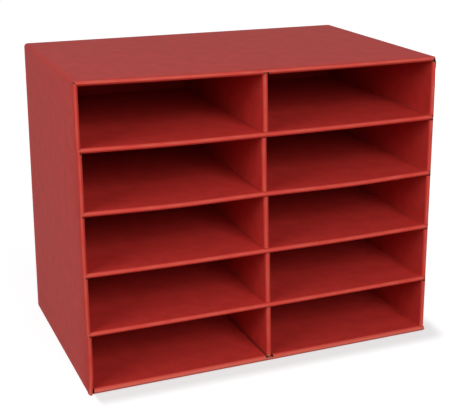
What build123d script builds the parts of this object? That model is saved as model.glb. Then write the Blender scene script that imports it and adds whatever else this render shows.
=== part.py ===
from build123d import *
from math import sqrt
import os

# A free-standing shelf organizer folded from fluted paperboard: a case whose four walls roll over
# at the front, one upright divider, full-width shelves that interlock with it, and a back panel.
# Millimetres. +X to the right, +Z up, the open front faces -Y.
# The origin is the middle of the footprint, on the surface that the organizer stands on.

# Overall size
case_width = 533.4
case_height = 431.8
case_depth = 327.0

# Compartments
row_count = 5

# Board: every panel is one sheet folded back on itself, with a little air between its two plies
board = 3.2
case_air = 2.0
shelf_air = 0.8
divider_air = 1.6
back_air = 0.4

# Folds
bend_ridge = 1.0          # the two halves of a front bend meet in a soft ridge
fold_radius = 4.0         # outside of the folds along the corners of the case
back_flange = 55.0        # width of the flanges that hold the back panel
corner_seam = 0.9         # shift of each mitred bend away from its corner
left_foot = 5.4           # width that the left wall's bend keeps down to the floor
corner_relief = 16.0      # depth of the cut-out behind the open seam, top right

# Fits
clearance = 0.3           # between two pieces that slot together or lie edge to edge
foot_play = 1.6           # extra room each side of the divider's foot in the bottom wall
divider_setback = 3.0     # how far the divider's front edge lies behind the shelves' front edges

# Thickness of each kind of folded panel
wall = 2 * board + case_air
shelf_thickness = 2 * board + shelf_air
divider_thickness = 2 * board + divider_air
back_thickness = 2 * board + back_air

# Places that follow from the sizes above
front = -case_depth / 2
rear = case_depth / 2
back_face = rear - board - back_thickness
liner_depth = back_face - clearance - front
lap_depth = (back_face - front) / 2
row_height = (case_height - 2 * wall - (row_count - 1) * shelf_thickness) / row_count
shelf_levels = [
    wall + number * row_height + (number - 0.5) * shelf_thickness for number in range(1, row_count)
]


def bend_depth(thickness):
    """How far a front bend stands out of the flat plies behind it."""
    radius = thickness / 2 + bend_ridge
    return sqrt(radius**2 - bend_ridge**2)


def folded_section(thickness, outer_depth, inner_depth):
    """Section of a sheet folded back on itself: X runs rearwards from the bend, Y across the plies."""
    bend = bend_depth(thickness)
    middle = thickness / 2
    inner_ply = thickness - board
    with BuildSketch() as section:
        with BuildLine():
            Line((bend, 0), (outer_depth, 0))
            Line((outer_depth, 0), (outer_depth, board))
            Line((outer_depth, board), (bend, board))
            ThreePointArc((bend, board), (bend - middle + board, middle), (bend, inner_ply))
            Line((bend, inner_ply), (inner_depth, inner_ply))
            Line((inner_depth, inner_ply), (inner_depth, thickness))
            Line((inner_depth, thickness), (bend, thickness))
            TangentArc((bend, thickness), (0, middle), tangent=(-1, 0))
            TangentArc((bend, 0), (0, middle), tangent=(-1, 0))
        make_face()
    return section.sketch


def along_bend(section, length):
    """A section drawn out along the bend. The solid's X runs along the bend, Y rearwards, Z across the plies."""
    across = Plane(origin=(-length / 2, 0, 0), x_dir=(0, 1, 0), z_dir=(1, 0, 0))
    return extrude(across * section, amount=length)


def folded_panel(length, thickness, outer_depth, inner_depth):
    """A folded sheet in its own frame, with its bend at Y = 0 and its outer face at Z = 0."""
    return along_bend(folded_section(thickness, outer_depth, inner_depth), length)


def block(x_range, y_range, z_range):
    """A box between the given limits."""
    size = [high - low for low, high in (x_range, y_range, z_range)]
    centre = [(high + low) / 2 for low, high in (x_range, y_range, z_range)]
    return Pos(*centre) * Box(*size)


def front_view_prism(corners, y_range):
    """A prism with its outline given in front view (x, z), between two depths."""
    near, far = y_range
    facing = Plane(origin=(0, near, 0), x_dir=(1, 0, 0), z_dir=(0, -1, 0))
    return extrude(facing * make_face(Polyline(*corners, close=True)), amount=near - far)


def wall_sheet(length):
    """A case wall before its ends are trimmed: outer ply, front bend, liner ply and rear flange."""
    with BuildSketch() as flange:
        with BuildLine():
            Line((case_depth - fold_radius, 0), (case_depth - fold_radius, board))
            Line((case_depth - fold_radius, board), (case_depth - board, board))
            Line((case_depth - board, board), (case_depth - board, back_flange))
            Line((case_depth - board, back_flange), (case_depth, back_flange))
            Line((case_depth, back_flange), (case_depth, fold_radius))
            TangentArc((case_depth, fold_radius), (case_depth - fold_radius, 0), tangent=(0, -1))
        make_face()
    sheet = folded_panel(length, wall, case_depth - fold_radius, liner_depth)
    return sheet + along_bend(flange.sketch, length)


def wall_outline(length, bend_start, bend_finish, liner_inset):
    """Space that a wall may fill, in the wall's own frame.

    bend_start and bend_finish give how far the front bend stops short of the case's corners,
    at the outer face and at the inner face.
    """
    half = length / 2
    bend = bend_depth(wall)
    bend_corners = [
        (-half + bend_start[0], 0),
        (half - bend_finish[0], 0),
        (half - bend_finish[1], wall),
        (-half + bend_start[1], wall),
    ]
    outer_corners = [(-half, 0), (half, 0), (half - board, board), (-half + board, board)]
    flange_end = half - back_flange - corner_seam
    flange_corners = [
        (-half + corner_seam, 0),
        (half - corner_seam, 0),
        (flange_end, back_flange),
        (-flange_end, back_flange),
    ]
    bend_space = front_view_prism(bend_corners, (0, bend))
    outer_space = front_view_prism(outer_corners, (bend, case_depth))
    flange_space = front_view_prism(flange_corners, (case_depth - board, case_depth))
    liner_end = half - liner_inset
    liner_space = block((-liner_end, liner_end), (bend, liner_depth), (board, wall))
    return bend_space + outer_space + flange_space + liner_space


def wall_slot(position, width):
    """Front-open slot through a wall's liner and the inner part of its bend."""
    sides = (position - width / 2, position + width / 2)
    return block(sides, (0, lap_depth + clearance / 2), (board, wall))


def case_outside():
    """The whole case as one block, with its four long corners rounded."""
    rounded = Plane.XZ * RectangleRounded(case_width, case_height, fold_radius)
    return Pos(0, 0, case_height / 2) * extrude(rounded, amount=case_depth / 2, both=True)


def case_wall(plane, length, bend_start, bend_finish, liner_inset, slots, slot_width):
    """One wall of the case, slotted and trimmed, in its place."""
    sheet = wall_sheet(length) & wall_outline(length, bend_start, bend_finish, liner_inset)
    for position in slots:
        sheet -= wall_slot(position, slot_width)
    return (plane.location * sheet) & case_outside()


# Ends of a front bend: how far it stops short of the case's corner, at its outer and inner face
mitred_end = (corner_seam, wall + corner_seam)
square_end = (wall + clearance, wall + clearance)
full_end = (0, 0)
foot_end = (left_foot + corner_seam, wall + corner_seam)
standing_end = (-left_foot * wall / (wall - left_foot), wall)

# Liners of the top and bottom reach the outer plies of the sides; liners of the sides fit between them
level_liner_inset = board + clearance
upright_liner_inset = wall + clearance

shelf_slot = shelf_thickness + 2 * clearance
divider_slot = divider_thickness + 2 * clearance
levels_from_middle = [level - case_height / 2 for level in shelf_levels]


def bottom_wall():
    plane = Plane(origin=(0, front, 0), x_dir=(1, 0, 0), z_dir=(0, 0, 1))
    foot_slot = divider_slot + 2 * foot_play
    return case_wall(plane, case_width, foot_end, full_end, level_liner_inset, [0], foot_slot)


def top_wall():
    plane = Plane(origin=(0, front, case_height), x_dir=(-1, 0, 0), z_dir=(0, 0, -1))
    return case_wall(plane, case_width, mitred_end, mitred_end, level_liner_inset, [0], divider_slot)


def left_wall():
    plane = Plane(origin=(-case_width / 2, front, case_height / 2), x_dir=(0, 0, -1), z_dir=(1, 0, 0))
    slots = [-level for level in levels_from_middle]
    return case_wall(
        plane, case_height, mitred_end, standing_end, upright_liner_inset, slots, shelf_slot
    )


def right_wall():
    plane = Plane(origin=(case_width / 2, front, case_height / 2), x_dir=(0, 0, 1), z_dir=(-1, 0, 0))
    slots = levels_from_middle
    panel = case_wall(
        plane, case_height, square_end, square_end, upright_liner_inset, slots, shelf_slot
    )
    top = (case_height - wall - clearance, case_height)
    relief = block((case_width / 2 - wall, case_width / 2), (front, front + corner_relief), top)
    return panel - relief


def back_panel():
    """A folded sheet inside the outer plies, lying on the rear flanges with its bend at the bottom."""
    width = case_width - 2 * (board + clearance)
    height = case_height - 2 * (board + clearance)
    panel = folded_panel(width, back_thickness, height, height)
    upright = Plane(origin=(0, rear - board, board + clearance), x_dir=(1, 0, 0), z_dir=(0, -1, 0))
    return upright.location * panel


def divider():
    """The upright divider: slots for the shelves in its front half, ears into the top and bottom."""
    full_height = case_height - 2 * (board + clearance)
    depth = liner_depth - divider_setback
    panel = folded_panel(full_height, divider_thickness, depth, depth)
    lap = lap_depth - divider_setback
    for level in levels_from_middle:
        sides = (level - shelf_slot / 2, level + shelf_slot / 2)
        panel -= block(sides, (0, lap + clearance / 2), (0, divider_thickness))
    ear = wall - board
    for low in (-full_height / 2, full_height / 2 - ear):
        panel -= block((low, low + ear), (lap - clearance / 2, depth), (0, divider_thickness))
    upright = Plane(
        origin=(divider_thickness / 2, front + divider_setback, case_height / 2),
        x_dir=(0, 0, 1),
        z_dir=(-1, 0, 0),
    )
    return upright.location * panel


def shelf(level):
    """A full-width shelf: ears into the side walls in front, a slot over the divider behind."""
    full_width = case_width - 2 * (board + clearance)
    panel = folded_panel(full_width, shelf_thickness, liner_depth, liner_depth)
    behind = (lap_depth - clearance / 2, liner_depth)
    ear = wall - board
    for low in (-full_width / 2, full_width / 2 - ear):
        panel -= block((low, low + ear), behind, (0, shelf_thickness))
    panel -= block((-divider_slot / 2, divider_slot / 2), behind, (0, shelf_thickness))
    return Pos(0, front, level - shelf_thickness / 2) * panel


def organizer():
    """Every piece of the organizer by its node name."""
    pieces = {
        "left_wall": left_wall(),
        "right_wall": right_wall(),
        "top_wall": top_wall(),
        "bottom_wall": bottom_wall(),
        "back_panel": back_panel(),
        "divider": divider(),
    }
    for number, level in enumerate(shelf_levels, start=1):
        pieces[f"shelf_{number}"] = shelf(level)
    return pieces


os.makedirs("parts", exist_ok=True)
for node, piece in organizer().items():
    export_step(piece, f"parts/{node}.step")
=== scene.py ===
from math import acos, cos, pi, radians, sin

import bmesh
import bpy
import numpy as np
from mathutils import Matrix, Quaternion, Vector


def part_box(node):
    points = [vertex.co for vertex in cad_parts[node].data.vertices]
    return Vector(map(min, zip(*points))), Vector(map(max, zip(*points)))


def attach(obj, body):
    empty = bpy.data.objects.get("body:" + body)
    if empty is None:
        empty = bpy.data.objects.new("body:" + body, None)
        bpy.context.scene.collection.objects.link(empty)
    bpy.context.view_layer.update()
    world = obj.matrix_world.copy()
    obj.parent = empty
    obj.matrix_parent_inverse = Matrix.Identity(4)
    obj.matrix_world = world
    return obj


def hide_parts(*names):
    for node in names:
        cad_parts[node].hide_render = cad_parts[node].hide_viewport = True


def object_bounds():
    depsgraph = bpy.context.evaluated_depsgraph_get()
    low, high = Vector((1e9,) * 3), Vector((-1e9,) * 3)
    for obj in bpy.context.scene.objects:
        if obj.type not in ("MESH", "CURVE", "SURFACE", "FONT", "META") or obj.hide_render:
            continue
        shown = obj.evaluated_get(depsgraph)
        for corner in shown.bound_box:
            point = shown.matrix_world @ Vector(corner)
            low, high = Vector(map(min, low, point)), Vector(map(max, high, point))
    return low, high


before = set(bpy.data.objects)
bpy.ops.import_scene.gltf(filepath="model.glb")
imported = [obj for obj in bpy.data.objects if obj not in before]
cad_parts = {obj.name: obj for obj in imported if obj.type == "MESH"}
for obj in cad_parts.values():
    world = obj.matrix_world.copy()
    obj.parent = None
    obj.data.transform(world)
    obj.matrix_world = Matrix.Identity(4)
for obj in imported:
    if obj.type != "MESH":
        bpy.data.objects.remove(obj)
cad_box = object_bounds()

# An open-fronted organizer folded from fluted board. Every piece is a flat die-cut sheet that is first
# corrugated, then folded, then left to settle, by Geometry Nodes. Metres; the open front faces -Y.

mm = 0.001
hair = 0.001 * mm             # shorter than anything real
far_off = 10.0                # a fold line as far off as this is never reached
origin = (0.0, 0.0, 0.0)

# The case, from the frame
case_low, case_high = cad_box
case_width = case_high[0] - case_low[0]
case_depth = case_high[1] - case_low[1]
case_height = case_high[2] - case_low[2]
front = case_low[1]

# Board
board = 3.2 * mm
liner = 0.4 * mm              # one paper face of the board
medium = 0.25 * mm            # the fluted paper between the two faces
flute_pitch = 6.4 * mm
flute_steps = 8               # facets of one flute
flute_depth = 9.0 * mm        # how far in the flutes are made, behind a cut edge
flute_gap = 0.2 * mm          # between the flutes behind two edges that meet

# Folds
wall = 8.4 * mm
pressed_wall = 7.0 * mm       # the sides and the top are pressed flatter than the bottom
bend_ridge = 1.8 * mm         # the two halves of a front bend meet in a soft ridge
fold_radius = 5.0 * mm
back_flange = 55.0 * mm
corner_seam = 0.9 * mm
mitre_seam = 0.5 * mm         # at top left the two bends nearly touch
open_seam = (1.5 * mm, 11.5 * mm)     # at top right the top's bend stops short, at its outer and inner face
foot_seam = 1.9 * mm          # the open seam beside the left wall's foot
left_foot = 5.0 * mm
liner_step = 0.4 * mm         # length over which a wall's ends step from the bend to the liner
inner_gap = 0.01 * mm         # between the middle of a bend and the board that is pressed flat inside it
press = 0.01                  # share of its thickness that the board keeps there

# Grid of the flat sheets
roll_facets = 8               # facets of half a front bend
fold_facets = 6               # facets of a quarter fold
sheet_step = 20.0 * mm
behind_bend = 4.0 * mm        # a line of the grid behind each bend
weld = 0.02 * mm              # ends of two walls nearer than this are joined
crisp_angle = radians(40)     # sharper edges than this are shaded as edges
paper_step = 0.5              # each wall has its own stretch of the paper's pattern, this far on

# Fits
clearance = 0.3 * mm
foot_play = 1.6 * mm
slot_start_left = radians(60)     # where the shelf slots start on the front bend, as an angle of its roll
slot_start_right = radians(32)
divider_slot_start = radians(60)
foot_slot_start = radians(91)     # the divider's foot goes in above the ridge of the bottom's bend
foot_notch = 2.6 * mm             # height that is cut away there under the foot

# Panels, from the frame
shelf_names = sorted(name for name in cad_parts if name.startswith("shelf_"))


def node_size(name):
    low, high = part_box(name)
    return high - low


shelf_width, shelf_depth, shelf_thickness = node_size("shelf_1")
divider_thickness, divider_depth, divider_height = node_size("divider")
back_width, back_thickness, back_height = node_size("back_panel")
shelf_levels = [sum(corner.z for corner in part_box(name)) / 2 for name in shelf_names]
liner_depth = shelf_depth     # the liners reach as far back as the shelves
lap_depth = (liner_depth + clearance) / 2
divider_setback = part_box("divider")[0].y - front
shelf_slot = shelf_thickness + 2 * clearance
divider_slot = divider_thickness + 2 * clearance
ear = wall - board

# Line of each front bend that gets the most rub and painted highlight, as a share of half the bend, from its
# ridge towards the liner
rub_lines = {"bottom": 0.25, "right": 0.25, "top": -0.375, "left": -0.25, "shelf": 0.5, "divider": 0.375}
fold_rub_highlight = 0.35               # the rear and corner folds get less rub and painted highlight than the front bends

# How the board has settled; rows and shelves are given from the lowest up
shelf_sags = (0.8 * mm, 1.8 * mm, 2.2 * mm, 2.2 * mm)     # at mid-width
top_sag = 2.0 * mm
shelf_spans = (               # and more in front, left and right of the divider
    (0.0, 0.0),
    (0.3 * mm, 0.6 * mm),
    (1.3 * mm, 1.4 * mm),
    (0.6 * mm, 0.0),
)
right_lean = 7.0 * mm         # the right wall leans in at its top
right_drop = 4.2 * mm         # and the top's right front corner hangs
rear_lean = 5.5 * mm          # the left wall leans in at its top rear corner
top_shift = -3.2 * mm         # the divider leans from right of the middle, at the bottom, to left of it
bottom_shift = 4.0 * mm
front_give = 45.0 * mm        # how far behind the front edge an outer ply gives way
end_give = front_give / 2     # and how far from its ends it starts to
divider_flex = (-1.0 * mm, -0.9 * mm, 0.5 * mm, 2.2 * mm, -0.8 * mm)     # each row's tongue
left_flex = (2.0 * mm, 0.9 * mm, 0.5 * mm, 1.3 * mm, 0.1 * mm)
right_flex = (0.2 * mm, 0.4 * mm, 0.2 * mm, 0.2 * mm, 0.0)
level_flex = (0.0, 0.0)       # the top and the bottom lie still

# Colours of the board: darker and lighter clouds, specks, what wear and painted light make of them on the
# bends, and painted shade inside the board
red_clouds = (0.570, 0.0370, 0.0300, 1), (0.628, 0.0435, 0.0350, 1)
red_specks = (0.30, 0.018, 0.014, 1)
# The next two colours are partly painted light: the bends are made lighter as if lit, and their line of most
# rub gets a painted highlight
red_stretched_lit = (0.71, 0.050, 0.037, 1)
red_rubbed_highlight = (0.74, 0.128, 0.090, 1)
bare_edge = (0.42, 0.24, 0.14, 1)
raw_clouds = (0.27, 0.175, 0.105, 1), (0.36, 0.245, 0.155, 1)
raw_specks = (0.15, 0.085, 0.05, 1)
# painted shade: near black for the inside of the board between its paper faces, which light hardly reaches
raw_hollow_shade = (0.050, 0.032, 0.022, 1)
speck_share = 0.35
# share of the rub and painted highlight colour
rub_highlight_share = 0.78
# how strongly that painted shade darkens the inside of the board
hollow_shade_share = 0.9

# Wear, painted highlight, sheen and relief
low_rub = 0.8                 # extra rub of the bends near the floor, and over which heights it fades
low_rub_fade = (4 * mm, 16 * mm)
top_highlight = 0.25               # painted highlight on the ridges of the bends near the top, and over which heights it fades
top_highlight_fade = (case_height - 14 * mm, case_height - 3 * mm)
edge_rub = 0.7
groove_depth = 0.05 * mm
print_depth = 0.06 * mm
bump_strength = 0.8
red_sheen = 0.125
raw_sheen = 0.2

# Scales of the noises, per metre
show_through = 9.0            # patches in which the flutes show through
speck_grain = 1400.0
rub_patches = 160.0
rub_stretches = 28.0
floor_grain = 900.0

# Camera, fitted to the corners of the case in the photograph: metres and degrees
camera_target = Vector((0.0086, 0.0, 0.1843))
camera_azimuth = -22.45
camera_elevation = 18.33
camera_distance = 1.529
camera_lens = 77.5
camera_sensor = 36.0
camera_roll = -0.1

# Studio
floor_size = 8.0
floor_drop = 0.2 * mm         # keeps the floor clear of the organizer's underside
floor_white = (0.38, 0.15)    # how white it is near the organizer and far from it
floor_white_fade = (0.40, 1.3)
floor_glow = 0.87             # glow of the white floor near the organizer; it is 1 far from it
floor_glow_fade = (0.30, 1.1)
floor_shade = 0.29            # and how much less of it there is at the foot
shade_reach = (0.012, 0.046)  # distances from the foot between which that shade fades
shade_inset = 0.015           # how far right of the foot's left end the shade starts
shade_left = 4.0              # the shade is so many times narrower left of the foot than before it
shade_right = 1.2             # and on its right
fill_light = 0.13             # plain light from all round
lamp_aim = (0, 0, 0.2)
lamps = {                     # place, size and power
    "front_soft": ((0.3, -2.4, 1.5), 1.1, 34),
    "side_soft": ((-1.7, -0.9, 1.1), 0.9, 15.1),
    "back_soft": ((1.5, 1.8, 0.21), 0.42, 14),
}


# Node trees

FLOAT = "NodeSocketFloat"
GEOMETRY = "NodeSocketGeometry"
VECTOR = "NodeSocketVector"
MATERIAL = "NodeSocketMaterial"


def sum_of(operation, turned_round=False):
    """A method that works out a sum on a value and others."""
    def method(self, *others):
        values = (*others, self) if turned_round else (self, *others)
        return place(self.socket.id_data, "ShaderNodeMath", dict(enumerate(values)), operation=operation)[0]
    return method


class Value:
    """What a socket gives out. A sum on it places the node that works the sum out."""

    def __init__(self, socket):
        self.socket = socket

    __add__ = sum_of("ADD")
    __sub__ = sum_of("SUBTRACT")
    __rsub__ = sum_of("SUBTRACT", turned_round=True)
    __mul__ = sum_of("MULTIPLY")
    __truediv__ = sum_of("DIVIDE")
    __rtruediv__ = sum_of("DIVIDE", turned_round=True)
    __lt__ = sum_of("LESS_THAN")
    __gt__ = sum_of("GREATER_THAN")
    __abs__ = sum_of("ABSOLUTE")
    at_least = sum_of("MAXIMUM")
    at_most = sum_of("MINIMUM")
    sign = sum_of("SIGN")
    root = sum_of("SQRT")
    sine = sum_of("SINE")
    cosine = sum_of("COSINE")
    arc_cosine = sum_of("ARCCOSINE")


class Values:
    """What a node gives out, by name or number."""

    def __init__(self, node):
        self.node = node

    def __getitem__(self, key):
        return Value(self.node.outputs[key])

    def __iter__(self):
        return map(Value, self.node.outputs)


def plug(node, inputs):
    """Links or sets a node's inputs by their name or number."""
    for key, value in inputs.items():
        if isinstance(value, Value):
            node.id_data.links.new(value.socket, node.inputs[key])
        else:
            node.inputs[key].default_value = value


def place(tree, kind, inputs=None, **settings):
    """The values of a new node with its settings and inputs."""
    node = tree.nodes.new(kind)
    for name, value in settings.items():
        setattr(node, name, value)
    plug(node, inputs or {})
    return Values(node)


def new_tree(name, kind, inputs, output_type, outputs):
    """An empty tree. inputs gives each input's default, or the socket type of one that has none."""
    tree = bpy.data.node_groups.new(name, kind)
    for label, default in inputs.items():
        if isinstance(default, str):
            tree.interface.new_socket(label, in_out="INPUT", socket_type=default)
            continue
        socket_type = VECTOR if isinstance(default, tuple) else FLOAT
        socket = tree.interface.new_socket(label, in_out="INPUT", socket_type=socket_type)
        socket.default_value = default
    for label in outputs:
        tree.interface.new_socket(label, in_out="OUTPUT", socket_type=output_type)
    return tree, place(tree, "NodeGroupInput")


def finish_tree(tree, outputs):
    place(tree, "NodeGroupOutput", outputs)
    return tree


def use(tree, group, inputs):
    """What another tree gives out when it is placed in this one."""
    kind = tree.bl_idname.replace("NodeTree", "NodeGroup")
    return place(tree, kind, inputs, node_tree=group)


def reckon_vector(tree, operation, *values):
    return place(tree, "ShaderNodeVectorMath", dict(enumerate(values)), operation=operation)


def vector(tree, x=0.0, y=0.0, z=0.0):
    return place(tree, "ShaderNodeCombineXYZ", {0: x, 1: y, 2: z})[0]


def parts_of(tree, whole):
    """The X, Y and Z of a vector."""
    return place(tree, "ShaderNodeSeparateXYZ", {0: whole})


def position(tree):
    return place(tree, "GeometryNodeInputPosition")[0]


def named(tree, attribute):
    """The value of a named attribute of the geometry."""
    return place(tree, "GeometryNodeInputNamedAttribute", {"Name": attribute}, data_type="FLOAT")["Attribute"]


def store(tree, geometry, attribute, value, domain, data_type="FLOAT"):
    """The geometry with a named attribute."""
    inputs = {"Geometry": geometry, "Name": attribute, "Value": value}
    return place(tree, "GeometryNodeStoreNamedAttribute", inputs, data_type=data_type, domain=domain)[0]


def separate(tree, geometry, selection, domain):
    """The part of the geometry that is selected, and the rest of it."""
    inputs = {"Geometry": geometry, "Selection": selection}
    return place(tree, "GeometryNodeSeparateGeometry", inputs, domain=domain)


def move(tree, geometry, offset):
    return place(tree, "GeometryNodeSetPosition", {"Geometry": geometry, "Offset": offset})[0]


def join(tree, *parts):
    joined = place(tree, "GeometryNodeJoinGeometry")
    for part in parts:
        plug(joined.node, {0: part})
    return joined[0]


def set_material(tree, geometry, material, selection=True):
    inputs = {"Geometry": geometry, "Selection": selection, "Material": material}
    return place(tree, "GeometryNodeSetMaterial", inputs)[0]


# Folding

def bend_tree():
    """Bends a layer of board round a radius: Along is the place along the sheet, Into the depth in it."""
    inputs = {name: 0.0 for name in ("Along", "Into", "Start", "Radius", "Limit")}
    tree, given = new_tree("Bend", "GeometryNodeTree", inputs, FLOAT, ("Along", "Into"))
    along, into, start, radius, limit = (given[name] for name in inputs)
    past = (along - start).at_least(0.0)
    turn = (past / radius).at_most(limit)
    beyond = past - turn * radius
    reach = radius - into
    sine, cosine = turn.sine(), turn.cosine()
    bent_along = reach * sine + along.at_most(start) + beyond * cosine
    bent_into = radius - reach * cosine + beyond * sine
    return finish_tree(tree, {"Along": bent_along, "Into": bent_into})


def thicken_tree():
    """Turns a flat layer into a closed sheet of paper that rises from it."""
    inputs = {"Layer": GEOMETRY, "Paper": liner}
    tree, given = new_tree("Thicken", "GeometryNodeTree", inputs, GEOMETRY, ["Sheet"])
    offset = vector(tree, z=given["Paper"])
    inputs = {"Mesh": given["Layer"], "Offset": offset, "Offset Scale": 1.0, "Individual": False}
    raised = place(tree, "GeometryNodeExtrudeMesh", inputs, mode="FACES")["Mesh"]
    under = place(tree, "GeometryNodeFlipFaces", {"Mesh": given["Layer"]})[0]
    inputs = {"Geometry": join(tree, raised, under), "Distance": hair}
    return finish_tree(tree, {"Sheet": place(tree, "GeometryNodeMergeByDistance", inputs)[0]})


def corrugate_tree():
    """Makes fluted board of a flat sheet: two paper faces, and the flutes behind its cut edges."""
    inputs = {
        "Sheet": GEOMETRY,
        "Board": board,
        "Paper": liner,
        "Medium": medium,
        "Pitch": flute_pitch,
        "Cut From": origin,
    }
    tree, given = new_tree("Corrugate", "GeometryNodeTree", inputs, GEOMETRY, ["Board"])
    thicken = thicken_tree()
    fluted, plain = separate(tree, given["Sheet"], named(tree, "flutes"), "FACE")

    # Distance of each point from the nearest cut edge, for the wear; an edge on a seam isn't cut
    inputs = {2: place(tree, "GeometryNodeInputMeshEdgeNeighbors")[0], 3: 1}
    is_rim = place(tree, "FunctionNodeCompare", inputs, data_type="INT", operation="EQUAL")[0]
    cut_edges = separate(tree, plain, is_rim * (named(tree, "seam") < 0.75), "EDGE")[0]
    nearest = place(tree, "GeometryNodeProximity", {0: cut_edges}, target_element="EDGES")
    marked = store(tree, plain, "cut", nearest["Distance"], "POINT")

    # The two paper faces
    lifted = move(tree, marked, vector(tree, z=given["Board"] - given["Paper"]))
    faces = [use(tree, thicken, {"Layer": layer, "Paper": given["Paper"]})[0] for layer in (marked, lifted)]

    # The flutes: a wave across the sheet
    _, y, z = parts_of(tree, position(tree))
    swing = (given["Board"] - given["Paper"] * 2.0 - given["Medium"]) * 0.5
    rise = (y * (2 * pi) / given["Pitch"]).cosine() * swing + swing + given["Paper"]
    wave = move(tree, fluted, vector(tree, z=rise))
    flutes = use(tree, thicken, {"Layer": wave, "Paper": given["Medium"]})[0]
    layers = join(tree, *faces, flutes)

    # The printed face is the one at no depth; between its two paper faces the board is marked for painted
    # shade, as though the inside of the board lay in shadow
    layers = store(tree, layers, "printed", z < 10 * hair, "FACE")
    layers = store(tree, layers, "hollow_shade", z.at_most(given["Board"] - z) > 10 * hair, "POINT")
    spot = reckon_vector(tree, "ADD", position(tree), given["Cut From"])[0]
    return finish_tree(tree, {"Board": store(tree, layers, "sheet", spot, "CORNER", "FLOAT2")})


def fold_tree():
    """Folds a sheet of board: rolls it over at the front, folds its rear flange and wraps its corners."""
    inputs = {
        "Board": GEOMETRY,
        "Ply": board,
        "Thickness": wall,
        "Ridge": bend_ridge,
        "Rear Fold": case_depth,
        "Corner Fold": case_width,
        "Fold Radius": fold_radius,
        "Inner Gap": inner_gap,
        "Press": press,
    }
    tree, given = new_tree("Fold", "GeometryNodeTree", inputs, GEOMETRY, ["Panel"])
    bend = bend_tree()
    along, across, into = parts_of(tree, position(tree))
    middle = given["Thickness"] * 0.5

    # Front roll: two arcs that meet in a soft ridge
    radius = middle + given["Ridge"]
    angle = (given["Ridge"] / radius).arc_cosine()
    half = {"Start": 0.0, "Radius": radius, "Limit": angle}
    rolled, inward = use(tree, bend, {"Along": radius * angle - abs(across), "Into": into, **half})
    depth = radius * angle.sine() - rolled

    # Inside the roll the board is pressed flat, each layer a little short of the middle
    short = (given["Ply"] - into) * given["Press"] + given["Inner Gap"]
    inward = inward.at_most(middle - short)

    # Rear fold, which only the outer ply is long enough to reach
    quarter = {"Start": given["Rear Fold"], "Radius": given["Fold Radius"], "Limit": pi / 2}
    depth, inward = use(tree, bend, {"Along": depth, "Into": inward, **quarter})

    # Half of each corner fold; flaps run on straight
    start = given["Corner Fold"] + named(tree, "flap")
    eighth = {"Start": start, "Radius": given["Fold Radius"], "Limit": pi / 4}
    distance, inward = use(tree, bend, {"Along": abs(along), "Into": inward, **eighth})

    # Past the ridge the sheet lies on the other side of the panel
    inward = (across > 0.0) * (given["Thickness"] - inward * 2.0) + inward + named(tree, "flex")
    spot = vector(tree, distance * along.sign(), depth, inward)
    folded = place(tree, "GeometryNodeSetPosition", {"Geometry": given["Board"], "Position": spot})[0]
    return finish_tree(tree, {"Panel": place(tree, "GeometryNodeFlipFaces", {"Mesh": folded})[0]})


def settle_tree():
    """Lets the organizer settle: shelves and top sag, the divider leans, and the upper corners lean in."""
    inputs = {
        "Panel": GEOMETRY,
        "Width": case_width,
        "Depth": case_depth,
        "Height": case_height,
        "Most Sag": max(shelf_sags),
        "Right Lean": right_lean,
        "Right Drop": right_drop,
        "Rear Lean": rear_lean,
        "Top Shift": top_shift,
        "Bottom Shift": bottom_shift,
    }
    tree, given = new_tree("Settle", "GeometryNodeTree", inputs, GEOMETRY, ["Panel"])
    x, y, z = parts_of(tree, position(tree))
    side = x / (given["Width"] * 0.5)
    height = z / given["Height"]
    rearward = y / given["Depth"] + 0.5
    forward = 1.0 - rearward
    mid_width = 1.0 - side * side

    # Sag, as a share of the most, over the height; it fades towards the stiff rear
    curve = place(tree, "ShaderNodeFloatCurve", {"Value": height})
    mapping = curve.node.mapping
    points = mapping.curves[0].points
    points[0].location = (0.0, 0.0)
    points[1].location = (1.0, top_sag / max(shelf_sags))
    for level, sag in zip(shelf_levels, shelf_sags):
        points.new(level / case_height, sag / max(shelf_sags))
    for point in points:
        point.handle_type = "VECTOR"
    mapping.update()
    sag = curve[0] * given["Most Sag"] * mid_width * forward

    # Lean of the right wall, and of the left wall at the rear
    right = (side * 0.5 + 0.5) * height
    left = (side * -0.5 + 0.5) * height
    lean = left * rearward * given["Rear Lean"] - right * given["Right Lean"]

    # Shift of the middle, where the divider stands
    middle = (height * given["Top Shift"] + (1.0 - height) * given["Bottom Shift"]) * mid_width

    drop = (sag + right * forward * given["Right Drop"]) * -1.0
    shift = vector(tree, x=lean + middle, z=drop)
    return finish_tree(tree, {"Panel": move(tree, given["Panel"], shift)})


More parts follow.
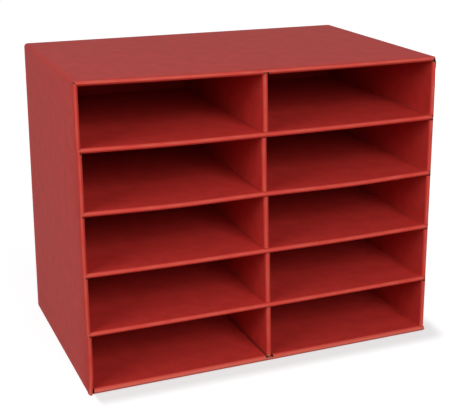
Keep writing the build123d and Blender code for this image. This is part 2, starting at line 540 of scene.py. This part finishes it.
def folded_board_tree():
    """The whole way from a flat die-cut sheet to a settled panel of the organizer."""
    inputs = {
        "Sheet": GEOMETRY,
        "Thickness": wall,
        "Ridge": bend_ridge,
        "Rear Fold": far_off,
        "Corner Fold": far_off,
        "Place": origin,
        "Turn": origin,
        "Cut From": origin,
        "Face": MATERIAL,
        "Raw": MATERIAL,
    }
    tree, given = new_tree("Folded Board", "GeometryNodeTree", inputs, GEOMETRY, ["Panel"])
    flat = use(tree, corrugate_tree(), {name: given[name] for name in ("Sheet", "Cut From")})[0]
    sizes = {name: given[name] for name in ("Thickness", "Ridge", "Rear Fold", "Corner Fold")}
    folded = use(tree, fold_tree(), {"Board": flat, **sizes})[0]
    turn = place(tree, "FunctionNodeEulerToRotation", {0: given["Turn"]})[0]
    inputs = {"Geometry": folded, "Translation": given["Place"], "Rotation": turn}
    stood = place(tree, "GeometryNodeTransform", inputs)[0]
    settled = use(tree, settle_tree(), {"Panel": stood})[0]
    smooth = place(tree, "GeometryNodeSetShadeSmooth", {"Geometry": settled, "Shade Smooth": True})[0]
    plain = place(tree, "GeometryNodeRealizeInstances", {"Geometry": smooth})[0]
    bare = set_material(tree, plain, given["Raw"])
    faced = set_material(tree, bare, given["Face"], named(tree, "printed") > 0.5)
    return finish_tree(tree, {"Panel": faced})


# Flat sheets

def roll_of(thickness, ridge=bend_ridge):
    """Length, depth and angle of half a front bend."""
    radius = thickness / 2 + ridge
    angle = acos(ridge / radius)
    return radius * angle, radius * sin(angle), angle


def steps(low, high, step):
    """Even grid lines from low up to, but without, high."""
    return np.linspace(low, high, max(1, round((high - low) / step)), endpoint=False)


def lines(marks, step):
    """Grid lines through the given marks, and at most a step apart."""
    marks = sorted(marks)
    stretches = [steps(low, high, step) for low, high in zip(marks, marks[1:]) if high - low > hair]
    return np.concatenate(stretches + [[marks[-1]]])


def round_bend(turn, rub_line):
    """How far round a front bend the board is: 1 along the line that gets the most rub and painted highlight.
    """
    turn = np.clip(turn, -1, 1)
    return np.where(turn > rub_line, (1 - turn) / (1 - rub_line), (1 + turn) / (1 + rub_line))


class FlatSheet:
    """A die-cut sheet, flat: x runs along its front fold and y across it, from the ridge of the fold."""

    def __init__(self, roll, trim=None, rub_line=0.0, **values):
        """values gives for each named value of the tree or the finish its function of x and y."""
        self.trim = trim or (lambda x, y: x)
        self.values = {name: lambda x, y: np.zeros_like(x) for name in ("flex", "flap", "seam")}
        self.values["crease"] = lambda x, y: abs(abs(y) - roll)
        self.values["bend"] = lambda x, y: round_bend(y / roll, rub_line)
        self.values.update(values)
        self.points, self.faces, self.flutes = [], [], []
        self.marks = {name: [] for name in self.values}

    def add(self, across_lines, along_lines, kept=None, flutes=False):
        """A stretch of the sheet, or of its flutes, on a grid, without the cells that kept() refuses."""
        y, x = np.meshgrid(across_lines, along_lines, indexing="ij")
        cell_x = (x[:-1, :-1] + x[1:, 1:]) / 2
        cell_y = (y[:-1, :-1] + y[1:, 1:]) / 2
        stay = kept(cell_x, cell_y) if kept else np.ones_like(cell_x, bool)
        number = np.arange(x.size).reshape(x.shape)
        corners = (number[:-1, :-1], number[:-1, 1:], number[1:, 1:], number[1:, :-1])
        faces = np.stack([corner[stay] for corner in corners], 1)
        used, faces = np.unique(faces, return_inverse=True)
        start = sum(len(part) for part in self.points)
        trimmed = self.trim(x, y)
        self.points.append(np.stack([trimmed.ravel()[used], y.ravel()[used], np.zeros(len(used))], 1))
        self.faces.append(faces.reshape(-1, 4) + start)
        self.flutes.append(np.full(len(used), float(flutes)))
        for name, value in self.values.items():
            self.marks[name].append(value(trimmed, y).ravel()[used])

    def add_flutes(self, along, across, mirrored=""):
        """Flutes between two places along the fold and two across it, and in the mirror of x, y or both."""
        for along_sign in (-1, 1) if "x" in mirrored else (1,):
            for across_sign in (-1, 1) if "y" in mirrored else (1,):
                fine = lines([across_sign * end for end in across], flute_pitch / flute_steps)
                coarse = lines([along_sign * end for end in along], 4 * sheet_step)
                self.add(fine, coarse, flutes=True)

    def add_slot_flutes(self, positions, width, across):
        """Flutes on both sides of slots."""
        for position in positions:
            for sign in (-1, 1):
                side = position + sign * width / 2
                self.add_flutes((side, side + sign * flute_depth), across)

    def mesh(self, name):
        data = bpy.data.meshes.new(name)
        points = np.concatenate(self.points)
        data.from_pydata(points.tolist(), [], np.concatenate(self.faces).tolist())
        marks = dict(self.marks, flutes=self.flutes)
        for label, parts in marks.items():
            attribute = data.attributes.new(label, "FLOAT", "POINT")
            attribute.data.foreach_set("value", np.concatenate(parts).astype(np.float32))
        return data


def in_slots(x, y, positions, width, low, high):
    """Whether each place lies in a slot across the fold, between two places of the sheet."""
    beside = np.min([abs(x - position) for position in positions], axis=0)
    return (beside < width / 2) & (y > low) & (y < high)


def wall_ridge(thickness):
    """Ridge that gives the front bends of thick and thin walls the same depth."""
    return ((wall / 2 + bend_ridge) ** 2 - bend_ridge**2 - (thickness / 2) ** 2) / thickness


def rounded_corner(inward):
    """How far the case's rounded corner stays inside the square one, at a depth from the outer face."""
    short = np.clip(fold_radius - inward, 0, fold_radius)
    return fold_radius - np.sqrt(fold_radius**2 - short**2)


def wall_sheet(length, thickness, ends, insets, slots, slot_width, slot_start_angle, flex_rows, rub_line):
    """Flat sheet of one case wall: rear flange, outer ply, front bend and liner, from -y to +y.

    ends gives for both ends how far the bend stops short of the corner, at its outer and its inner face,
    and insets the same for the liner. flex_rows gives how far each row's tongue leans, and rub_line
    where the bend gets the most rub and painted highlight.
    """
    roll, roll_depth, angle = roll_of(thickness, wall_ridge(thickness))
    straight = length / 2 - fold_radius
    corner = fold_radius * pi / 4
    body_rear = -(roll + case_depth - fold_radius - roll_depth)
    flange_start = body_rear - fold_radius * pi / 2
    flange_edge = flange_start - back_flange + fold_radius
    liner_edge = roll + liner_depth - roll_depth
    slot_start = -roll * (1 - slot_start_angle / angle)
    slot_end = roll + lap_depth + clearance / 2 - roll_depth
    zone = back_flange + 2 * corner_seam

    def short_of_corner(y, end):
        """How far the sheet stops short of the case's corner."""
        share = np.clip((y + roll) / (2 * roll), 0, 1)
        outer, inner = ends[end]
        bend = np.maximum(outer + (inner - outer) * share, rounded_corner(thickness * share))
        folded_in = np.clip((body_rear - y) / (body_rear - flange_edge), 0, 1)
        flange = fold_radius + (back_flange - fold_radius + corner_seam) * folded_in
        onto_liner = np.clip((y - roll) / liner_step, 0, 1)
        front_part = bend + (insets[end] - bend) * onto_liner
        return np.where(y < body_rear, flange, front_part)

    def in_flap(y):
        return (y < body_rear - hair) | (y > -roll + hair)

    def trim(x, y):
        shift = np.zeros_like(x)
        for end, sign in enumerate((-1, 1)):
            share = np.clip((sign * x - (straight - zone)) / zone, 0, 1)
            end_shift = fold_radius - short_of_corner(y, end)
            shift += np.where(in_flap(y), sign * share * end_shift, 0)
        return x + shift

    def flex(x, y):
        """The front gives way row by row: abruptly between the slots, softly in the outer ply."""
        rows = np.asarray(flex_rows)
        abrupt = rows[np.searchsorted(slots, x)]
        soft = np.full_like(x, rows[0])
        for slot, step in zip(slots, np.diff(rows)):
            soft = soft + step * np.clip((x - slot) / slot_width + 0.5, 0, 1)
        amount = np.where(y > slot_start, abrupt, soft)
        depth = np.where(y < 0, 1 - (-y - roll) / front_give, 1 - (y - roll) / (slot_end - roll))
        near_end = np.clip((straight - abs(x)) / end_give, 0, 1)
        return amount * np.clip(depth, 0, 1) ** 2 * near_end

    def kept(x, y):
        in_slot = in_slots(x, y, slots, slot_width, slot_start, slot_end)
        return ~in_slot & ((abs(x) < straight) | ~in_flap(y))

    def flap(x, y):
        return np.where(in_flap(y), far_off, 0.0)

    def seam(x, y):
        return np.where((abs(x) > straight + corner - hair) & ~in_flap(y), 1.0, 0.0)

    def crease(x, y):
        """Distance from the nearest scored line: at the bend, at the corner folds and at the rear fold."""
        bend_line = abs(abs(y) - roll)
        rear_line = np.minimum(abs(y - body_rear), abs(y - flange_start))
        corner_line = np.where(in_flap(y), 1.0, abs(abs(x) - straight))
        return np.minimum(np.minimum(bend_line, rear_line), corner_line)

    def bend(x, y):
        """How far round a fold the sheet is; the rear and corner folds get less rub and painted highlight."""
        front_bend = round_bend(y / roll, rub_line)
        corner_fold = np.where(in_flap(y), 0.0, np.clip((abs(x) - straight) / corner, 0, 1))
        rear_middle = (body_rear + flange_start) / 2
        rear_fold = np.clip(1 - abs(y - rear_middle) / (body_rear - rear_middle), 0, 1)
        return np.maximum(front_bend, fold_rub_highlight * np.maximum(corner_fold, rear_fold))

    sheet = FlatSheet(roll, trim, flex=flex, flap=flap, seam=seam, crease=crease, bend=bend)
    across = np.concatenate(
        [
            steps(flange_edge, flange_start, sheet_step / 2),
            steps(flange_start, body_rear, fold_radius * pi / 2 / fold_facets),
            steps(body_rear, -roll - front_give, sheet_step),
            steps(-roll - front_give, -roll, sheet_step / 4),
            steps(-roll, roll, roll / roll_facets),
            steps(roll, roll + liner_step, liner_step / 2),
            lines([roll + liner_step, roll + behind_bend, slot_end, liner_edge], sheet_step),
            [slot_start],
        ]
    )
    across = np.unique(across.round(7))
    marks = [sign * mark for mark in (straight - zone, straight) for sign in (-1, 1)]
    marks += [position + sign * slot_width / 2 for position in slots for sign in (-1, 1)]
    arcs = np.linspace(0, corner, fold_facets // 2 + 1)[1:]
    along = np.concatenate([-straight - arcs[::-1], lines(marks, sheet_step / 2), straight + arcs])
    sheet.add(across, along, kept)

    # Flutes behind the cut ends, the slots, and the free edges
    end = (straight - flute_depth, straight)
    sheet.add_flutes(end, (-roll, liner_edge), "x")
    sheet.add_flutes(end, (flange_edge, flange_start), "x")
    sheet.add_slot_flutes(slots, slot_width, (slot_start, slot_end))
    reach = slot_width / 2 - flute_gap
    for position in slots:
        sheet.add_flutes((position - reach, position + reach), (slot_end, slot_end + flute_pitch))
    reach = straight - flute_depth - flute_gap
    sheet.add_flutes((-reach, reach), (liner_edge - flute_pitch, liner_edge))
    sheet.add_flutes((-reach, reach), (flange_edge, flange_edge + flute_pitch))
    return sheet


def panel_sheet(length, depth, thickness, kept=None, marks_along=(), marks_across=(), **values):
    """Flat sheet of a panel with two like plies, folded in the middle."""
    roll, roll_depth, _ = roll_of(thickness)
    edge = roll + depth - roll_depth
    sheet = FlatSheet(roll, **values)
    along = lines([-length / 2, length / 2, *marks_along], sheet_step)
    ply = lines([roll, edge, *marks_across], sheet_step)
    half = np.concatenate([steps(0, roll, roll / roll_facets), ply])
    sheet.add(np.concatenate([-half[:0:-1], half]), along, kept)
    return sheet


def shelf_sheet(spans):
    """Flat sheet of a shelf: ears in front, and behind them a slot over the divider."""
    roll, roll_depth, _ = roll_of(shelf_thickness)
    lap = roll + lap_depth - clearance / 2 - roll_depth
    edge = roll + shelf_depth - roll_depth
    half = shelf_width / 2
    inner = half - ear
    slot_side = divider_slot / 2

    def kept(x, y):
        return (abs(y) < lap) | ((abs(x) < inner) & (abs(x) > slot_side))

    def flex(x, y):
        """The shelf sags at the front on both sides of the divider."""
        amount = np.where(x < 0, *spans)
        return -amount * np.sin(pi * x / half) ** 2 * np.clip(1 - abs(y) / edge, 0, 1)

    marks = [-inner, -slot_side, slot_side, inner]
    sizes = (shelf_width, shelf_depth, shelf_thickness)
    sheet = panel_sheet(*sizes, kept, marks, [lap], flex=flex, rub_line=rub_lines["shelf"])
    sheet.add_flutes((half - flute_depth, half), (-lap, lap), "x")
    sheet.add_flutes((inner - flute_depth, inner), (lap, edge), "xy")
    sheet.add_flutes((slot_side, slot_side + flute_depth), (lap, edge), "xy")
    reach = (slot_side + flute_depth + flute_gap, inner - flute_depth - flute_gap)
    sheet.add_flutes(reach, (edge - flute_pitch, edge), "xy")
    return sheet


def divider_sheet():
    """Flat sheet of the divider: slots for the shelves in front, ears, and a notch at its foot."""
    roll, roll_depth, _ = roll_of(divider_thickness)
    lap = roll + lap_depth - divider_setback + clearance / 2 - roll_depth
    ear_lap = lap - clearance
    edge = roll + divider_depth - roll_depth
    half = divider_height / 2
    inner = half - ear
    notch = foot_notch - half
    middle = sum(corner.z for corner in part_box("divider")) / 2
    levels = [level - middle for level in shelf_levels]

    def kept(x, y):
        in_slot = in_slots(x, y, levels, shelf_slot, -lap, lap)
        in_notch = (x < notch) & (abs(y) < roll)
        return ~in_slot & ~in_notch & ~((abs(y) > ear_lap) & (abs(x) > inner))

    def flex(x, y):
        """Each row's tongue leans sideways at the front."""
        rows = np.asarray(divider_flex)[np.searchsorted(levels, x)]
        return rows * np.clip(1 - abs(y) / lap, 0, 1)

    marks = [level + sign * shelf_slot / 2 for level in levels for sign in (-1, 1)] + [notch, -inner, inner]
    sizes = (divider_height, divider_depth, divider_thickness)
    sheet = panel_sheet(*sizes, kept, marks, [ear_lap, lap], flex=flex, rub_line=rub_lines["divider"])
    sheet.add_flutes((half - flute_depth, half), (-ear_lap, ear_lap))
    sheet.add_flutes((notch, notch + flute_depth), (-roll, roll))
    sheet.add_flutes((-half, flute_depth - half), (roll, ear_lap), "y")
    sheet.add_flutes((inner - flute_depth, inner), (ear_lap, edge), "xy")
    sheet.add_slot_flutes(levels, shelf_slot, (-lap, lap))
    reach = inner - flute_depth - flute_gap
    sheet.add_flutes((-reach, reach), (edge - flute_pitch, edge), "y")
    return sheet


def back_sheet():
    """Flat sheet of the back panel, with its fold at the bottom."""
    roll, roll_depth, _ = roll_of(back_thickness)
    edge = roll + back_height - roll_depth
    half = back_width / 2
    sheet = panel_sheet(back_width, back_height, back_thickness)
    sheet.add_flutes((half - flute_depth, half), (-edge, edge), "x")
    reach = half - flute_depth - flute_gap
    sheet.add_flutes((-reach, reach), (edge - flute_pitch, edge), "y")
    return sheet


# Pieces

def new_object(name, data):
    """An object with its data, placed in the scene."""
    thing = bpy.data.objects.new(name, data)
    bpy.context.scene.collection.objects.link(thing)
    return thing


def through_tree(sheet, name, tree, values):
    """The plain object that the tree makes of a flat sheet."""
    blank = new_object(name + "_blank", sheet.mesh(name + "_blank"))
    modifier = blank.modifiers.new("folded", "NODES")
    modifier.node_group = tree
    sockets = {item.name: item.identifier for item in tree.interface.items_tree if item.in_out == "INPUT"}
    for label, value in values.items():
        modifier[sockets[label]] = value
    graph = bpy.context.evaluated_depsgraph_get()
    data = bpy.data.meshes.new_from_object(blank.evaluated_get(graph), depsgraph=graph)
    bpy.data.objects.remove(blank)
    data.name = name
    return new_object(name, data)


def finish_piece(piece, slot, *nodes):
    """Keeps cut edges crisp, hangs the piece under the root body, and hides the solids it stands for."""
    piece.data.set_sharp_from_angle(angle=crisp_angle)
    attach(piece, "root")
    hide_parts(*nodes)


def weld_corners(piece):
    """Makes the four walls one sheet again: drops the faces inside the board, and joins the ends."""
    sheet = bmesh.new()
    sheet.from_mesh(piece.data)
    seam = sheet.verts.layers.float["seam"]
    ends = {vert for vert in sheet.verts if vert[seam] > 0.5}
    inside = [face for face in sheet.faces if ends.issuperset(face.verts)]
    bmesh.ops.delete(sheet, geom=inside, context="FACES")
    bmesh.ops.remove_doubles(sheet, verts=list(ends), dist=weld)
    sheet.to_mesh(piece.data)
    sheet.free()


def case_piece(tree, finishes):
    """The case: four walls with their flaps, folded from one sheet."""
    rising = [level - case_height / 2 for level in shelf_levels]
    falling = [-level for level in reversed(rising)]
    foot_slot = divider_slot + 2 * foot_play

    # Ends of the front bends, at their outer and inner faces
    mitred = (mitre_seam, pressed_wall + mitre_seam)
    foot = (left_foot + foot_seam, pressed_wall + foot_seam)
    standing = (-left_foot * wall / (pressed_wall - left_foot), wall)
    full = (0.0, 0.0)
    square_foot = (wall + clearance, wall + clearance)
    square_top = (pressed_wall + clearance, pressed_wall + clearance)

    # The liners of the sides fit between those of the bottom and the top
    level_insets = (board + clearance, board + clearance)
    side_insets = (wall + clearance, pressed_wall + clearance)
    left_insets = side_insets[::-1]
    walls = {
        "bottom": ((foot, full), level_insets, [0.0], foot_slot, foot_slot_start, level_flex),
        "right": ((square_foot, square_top), side_insets, rising, shelf_slot, slot_start_right, right_flex),
        "top": ((open_seam, mitred), level_insets, [0.0], divider_slot, divider_slot_start, level_flex),
        "left": ((mitred, standing), left_insets, falling, shelf_slot, slot_start_left, left_flex[::-1]),
    }
    places = {
        "bottom": (0, front, 0),
        "right": (case_width / 2, front, case_height / 2),
        "top": (0, front, case_height),
        "left": (-case_width / 2, front, case_height / 2),
    }
    parts = []
    for quarters, (name, cuts) in enumerate(walls.items()):
        length = case_height if name in ("left", "right") else case_width
        thickness = wall if name == "bottom" else pressed_wall
        sheet = wall_sheet(length, thickness, *cuts, rub_lines[name])
        values = {
            "Thickness": thickness,
            "Ridge": wall_ridge(thickness),
            "Rear Fold": case_depth - fold_radius,
            "Corner Fold": length / 2 - fold_radius,
            "Place": places[name],
            "Turn": (0.0, -quarters * pi / 2, 0.0),
            "Cut From": (quarters * paper_step, 0.0, 0.0),
        }
        parts.append(through_tree(sheet, name, tree, finishes | values))
    with bpy.context.temp_override(active_object=parts[0], selected_editable_objects=parts):
        bpy.ops.object.join()
    case = parts[0]
    case.name = case.data.name = "case_blank"
    weld_corners(case)
    return case


def organizer(face, raw):
    """All the pieces: the case, the shelves, the divider and the back."""
    tree = folded_board_tree()
    finishes = {"Face": face, "Raw": raw}
    case = case_piece(tree, finishes)
    finish_piece(case, "case_board", "left_wall", "right_wall", "top_wall", "bottom_wall")
    for name, level, spans in zip(shelf_names, shelf_levels, shelf_spans):
        values = {"Thickness": shelf_thickness, "Place": (0.0, front, level - shelf_thickness / 2)}
        shelf = through_tree(shelf_sheet(spans), name + "_board", tree, finishes | values)
        finish_piece(shelf, "shelf_board", name)
    low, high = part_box("divider")
    values = {
        "Thickness": divider_thickness,
        "Place": (high.x, low.y, (low.z + high.z) / 2),
        "Turn": (0.0, -pi / 2, 0.0),
    }
    divider = through_tree(divider_sheet(), "divider_board", tree, finishes | values)
    finish_piece(divider, "shelf_board", "divider")
    low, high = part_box("back_panel")
    values = {"Thickness": back_thickness, "Place": (0.0, high.y, low.z), "Turn": (pi / 2, 0.0, 0.0)}
    back = through_tree(back_sheet(), "back_board", tree, finishes | values)
    finish_piece(back, "case_board", "back_panel")


# Finishes

def blend_colours(tree, amount, first, second, blend_type="MIX"):
    inputs = {0: amount, 6: first, 7: second}
    return place(tree, "ShaderNodeMix", inputs, data_type="RGBA", blend_type=blend_type)[2]


def shaded(tree, colour, amount):
    """A colour made darker or lighter by an amount round 1."""
    return blend_colours(tree, 1.0, colour, vector(tree, amount, amount, amount), "MULTIPLY")


def noise(tree, spot, scale, detail=2.0, roughness=0.5):
    inputs = {"Vector": spot, "Scale": scale, "Detail": detail, "Roughness": roughness}
    return place(tree, "ShaderNodeTexNoise", inputs, noise_dimensions="3D")["Fac"]


def stretched(tree, spot, factors):
    """A vector scaled along each axis, for grain that is longer one way."""
    return reckon_vector(tree, "MULTIPLY", spot, factors)[0]


def ramp(tree, value, low, high, to_low=0.0, to_high=1.0):
    """Eases a value from one range into another."""
    inputs = {"Value": value, "From Min": low, "From Max": high, "To Min": to_low, "To Max": to_high}
    return place(tree, "ShaderNodeMapRange", inputs, interpolation_type="SMOOTHSTEP", clamp=True)["Result"]


def paper_tree():
    """Surface of one paper face of the board: fibres, cloudiness and the flutes that show through."""
    inputs = {
        "Sheet": origin,
        "Fibre Width": 0.35 * mm,
        "Fibre Length": 3.0 * mm,
        "Cloud Size": 22.0 * mm,
        "Pitch": flute_pitch,
        "Flute Relief": 0.014 * mm,
        "Fibre Relief": 0.010 * mm,
        "Cloud Relief": 0.10 * mm,
    }
    outputs = ("Fibres", "Clouds", "Specks", "Height")
    tree, given = new_tree("Paper Face", "ShaderNodeTree", inputs, FLOAT, outputs)
    sheet = given["Sheet"]
    grain = vector(tree, 1.0 / given["Fibre Width"], 1.0 / given["Fibre Length"], 1.0)
    fibres = noise(tree, stretched(tree, sheet, grain), 1.0, 4.0, 0.62)
    clouds = noise(tree, sheet, 1.0 / given["Cloud Size"], 3.0, 0.55)
    specks = noise(tree, stretched(tree, sheet, (1.0, 0.45, 1.0)), speck_grain, 1.0)
    specks = ramp(tree, specks, 0.70, 0.76)
    flutes = (parts_of(tree, sheet)["Y"] / given["Pitch"] * (2 * pi)).cosine()
    flutes = flutes * ramp(tree, noise(tree, sheet, show_through), 0.35, 0.75)
    height = flutes * given["Flute Relief"] + fibres * given["Fibre Relief"] + clouds * given["Cloud Relief"]
    return finish_tree(tree, {"Fibres": fibres, "Clouds": clouds, "Specks": specks, "Height": height})


def wear_tree():
    """Where the printed face is worn: cut edges, scored lines and bends, most of all low down; the bends also
    get a painted highlight, most of all high up.
    """
    inputs = {
        "Sheet": origin,
        "Cut": 1.0,
        "Crease": 1.0,
        "Bend": 0.0,
        "Floor Distance": 1.0,
        "Bare Width": 0.9 * mm,
        "Rub Width": 2.5 * mm,
        "Groove Width": 0.9 * mm,
    }
    outputs = ("Bare", "Rubbed Highlit", "Stretched Lit", "Groove")
    tree, given = new_tree("Wear", "ShaderNodeTree", inputs, FLOAT, outputs)
    patches = noise(tree, given["Sheet"], rub_patches, 4.0, 0.6)
    broad = noise(tree, given["Sheet"], rub_stretches, 3.0, 0.55)
    near_cut = ramp(tree, given["Cut"], 0.0, given["Bare Width"], 1.0, 0.0)
    bare = ramp(tree, near_cut * patches, 0.44, 0.52)
    # the bends' stretched paper, made lighter also as painted light
    bend = ramp(tree, given["Bend"], 0.05, 0.5)
    ridge = ramp(tree, given["Bend"], 0.5, 0.95)
    low = ramp(tree, given["Floor Distance"], *low_rub_fade, 1.0, 0.0)
    # painted highlight near the top of the organizer
    high = ramp(tree, given["Floor Distance"], *top_highlight_fade)
    # along the ridges the rub is partly painted highlight; near the top it is painted highlight only
    rubbed_and_highlit = ridge * ramp(tree, broad, 0.30, 0.66, 0.25, 1.0) + low * bend * low_rub + high * ridge * top_highlight
    by_cut = ramp(tree, given["Cut"], 0.0, given["Rub Width"], edge_rub, 0.0)
    rubbed_and_highlit = rubbed_and_highlit.at_least(by_cut * patches)
    groove = ramp(tree, given["Crease"], 0.0, given["Groove Width"], 1.0, 0.0)
    return finish_tree(tree, {"Bare": bare, "Rubbed Highlit": rubbed_and_highlit, "Stretched Lit": bend, "Groove": groove})


def attribute_of(tree, name):
    return place(tree, "ShaderNodeAttribute", attribute_name=name)["Fac"]


def start_material(name):
    material = bpy.data.materials.new(name)
    material.use_nodes = True
    return material, material.node_tree


def finish_material(tree, colour, matte, sheen, relief):
    """Gives the material's shader its colour, roughness, sheen and relief."""
    bump = place(tree, "ShaderNodeBump", {"Strength": bump_strength, "Distance": 1.0, "Height": relief})
    inputs = {"Base Color": colour, "Roughness": matte, "Specular IOR Level": sheen, "Normal": bump[0]}
    plug(tree.nodes["Principled BSDF"], inputs)


def red_board(paper, wear):
    """The printed face: matte red paper, worn and painted lighter along the bends, with a painted highlight
    on their ridges, and bare at the cut edges.
    """
    material, tree = start_material("red_board")
    sheet = place(tree, "ShaderNodeUVMap", uv_map="sheet")[0]
    face = use(tree, paper, {"Sheet": sheet})
    marks = {label: attribute_of(tree, label.lower()) for label in ("Cut", "Crease", "Bend")}
    height = parts_of(tree, place(tree, "ShaderNodeTexCoord")["Object"])["Z"]
    worn = use(tree, wear, {"Sheet": sheet, "Floor Distance": height, **marks})
    colour = blend_colours(tree, ramp(tree, face["Clouds"], 0.32, 0.68), *red_clouds)
    colour = shaded(tree, colour, ramp(tree, face["Fibres"], 0.25, 0.75, 0.93, 1.07))
    colour = blend_colours(tree, face["Specks"] * speck_share, colour, red_specks)
    # painted light: the bends are made lighter and given a painted highlight along their line of most rub, on
    # top of real wear
    colour = blend_colours(tree, worn["Stretched Lit"], colour, red_stretched_lit)
    colour = blend_colours(tree, worn["Rubbed Highlit"] * rub_highlight_share, colour, red_rubbed_highlight)
    colour = blend_colours(tree, worn["Bare"], colour, bare_edge)
    matte = ramp(tree, face["Fibres"], 0.3, 0.7, 0.56, 0.66) + worn["Bare"] * 0.2
    relief = face["Height"] - worn["Groove"] * groove_depth - worn["Bare"] * print_depth
    finish_material(tree, colour, matte, red_sheen, relief)
    return material


def raw_board(paper):
    """Unprinted board, as seen on cut edges and inside: greyish brown paper with coarse fibres, and painted
    shade between its two paper faces.
    """
    material, tree = start_material("raw_board")
    sheet = place(tree, "ShaderNodeUVMap", uv_map="sheet")[0]
    inputs = {"Sheet": sheet, "Fibre Width": 0.5 * mm, "Fibre Relief": 0.03 * mm, "Flute Relief": 0.0}
    face = use(tree, paper, inputs)
    colour = blend_colours(tree, ramp(tree, face["Clouds"], 0.3, 0.7), *raw_clouds)
    colour = shaded(tree, colour, ramp(tree, face["Fibres"], 0.2, 0.8, 0.78, 1.18))
    colour = blend_colours(tree, face["Specks"], colour, raw_specks)
    # painted shade: the inside of the board, between its paper faces, is darkened almost to black
    colour = blend_colours(tree, attribute_of(tree, "hollow_shade") * hollow_shade_share, colour, raw_hollow_shade)
    matte = ramp(tree, face["Fibres"], 0.3, 0.7, 0.78, 0.92)
    finish_material(tree, colour, matte, raw_sheen, face["Height"])
    return material


# Studio

def seen_directly(tree):
    """1 for what the camera, a sheen or a clear piece shows, and 0 for the light that falls on things."""
    path = place(tree, "ShaderNodeLightPath")
    return path["Is Camera Ray"].at_least(path["Is Glossy Ray"]).at_least(path["Is Transmission Ray"])


def floor_material():
    """White floor that glows where it is seen, and less so close to the organizer's foot."""
    material, tree = start_material("floor")
    tree.nodes.clear()
    spot = place(tree, "ShaderNodeTexCoord")["Object"]
    level = stretched(tree, spot, (1.0, 1.0, 0.0))
    distance = reckon_vector(tree, "LENGTH", level)["Value"]
    grain = ramp(tree, noise(tree, spot, floor_grain), 0.3, 0.7, 0.98, 1.02)
    white = grain * ramp(tree, distance, *floor_white_fade, *floor_white)
    diffuse = place(tree, "ShaderNodeBsdfDiffuse", {"Color": vector(tree, white, white, white)})[0]

    # Distance from the foot, which the shade keeps to the right and front of
    x, y, _ = parts_of(tree, level)
    half = case_width / 2
    left = x * -shade_left + (shade_inset - half) * shade_left
    right = x * shade_right - half * shade_right
    beside = left.at_least(right).at_least(0.0)
    before = (abs(y) - case_depth / 2).at_least(0.0)
    foot_distance = (beside * beside + before * before).root()
    shade = ramp(tree, foot_distance, *shade_reach, floor_shade, 0.0)
    strength = ramp(tree, distance, *floor_glow_fade, floor_glow, 1.0) - shade
    glow = place(tree, "ShaderNodeEmission", {"Strength": strength})[0]
    bright = place(tree, "ShaderNodeAddShader", {0: diffuse, 1: glow})[0]
    mix = place(tree, "ShaderNodeMixShader", {0: seen_directly(tree), 1: diffuse, 2: bright})
    place(tree, "ShaderNodeOutputMaterial", {"Surface": mix[0]})
    return material


def lay_floor():
    bpy.ops.mesh.primitive_plane_add(size=floor_size, location=(0, 0, -floor_drop))
    floor = bpy.context.object
    floor.name = "floor"
    floor.data.materials.append(floor_material())


def light_up(name, spot, size, power):
    """A soft square lamp at a place, turned towards the organizer."""
    lamp = bpy.data.lights.new(name, "AREA")
    lamp.shape = "SQUARE"
    lamp.size = size
    lamp.energy = power
    holder = new_object(name, lamp)
    holder.location = spot
    holder.rotation_euler = (Vector(lamp_aim) - Vector(spot)).to_track_quat("-Z", "Y").to_euler()


def set_camera():
    azimuth, elevation = radians(camera_azimuth), radians(camera_elevation)
    direction = Vector((sin(azimuth) * cos(elevation), -cos(azimuth) * cos(elevation), sin(elevation)))
    data = bpy.data.cameras.new("camera")
    data.lens = camera_lens
    data.sensor_width = camera_sensor
    camera = new_object("camera", data)
    camera.location = camera_target + camera_distance * direction
    level = (-direction).to_track_quat("-Z", "Y")
    camera.rotation_euler = (level @ Quaternion((0.0, 0.0, 1.0), radians(camera_roll))).to_euler()
    bpy.context.scene.camera = camera


def studio_world():
    """White for the camera and in the sheen, and a little plain light from all round."""
    world = bpy.data.worlds.new("studio")
    bpy.context.scene.world = world
    world.use_nodes = True
    tree = world.node_tree
    tree.nodes.clear()
    fill, white = (
        place(tree, "ShaderNodeBackground", {"Color": (1, 1, 1, 1), "Strength": strength})[0]
        for strength in (fill_light, 1.0)
    )
    mix = place(tree, "ShaderNodeMixShader", {0: seen_directly(tree), 1: fill, 2: white})
    place(tree, "ShaderNodeOutputWorld", {"Surface": mix[0]})


set_camera()
studio_world()
lay_floor()
for lamp_name, lamp_sizes in lamps.items():
    light_up(lamp_name, *lamp_sizes)
paper = paper_tree()
organizer(red_board(paper, wear_tree()), raw_board(paper))
bpy.context.scene.view_settings.view_transform = "Standard"
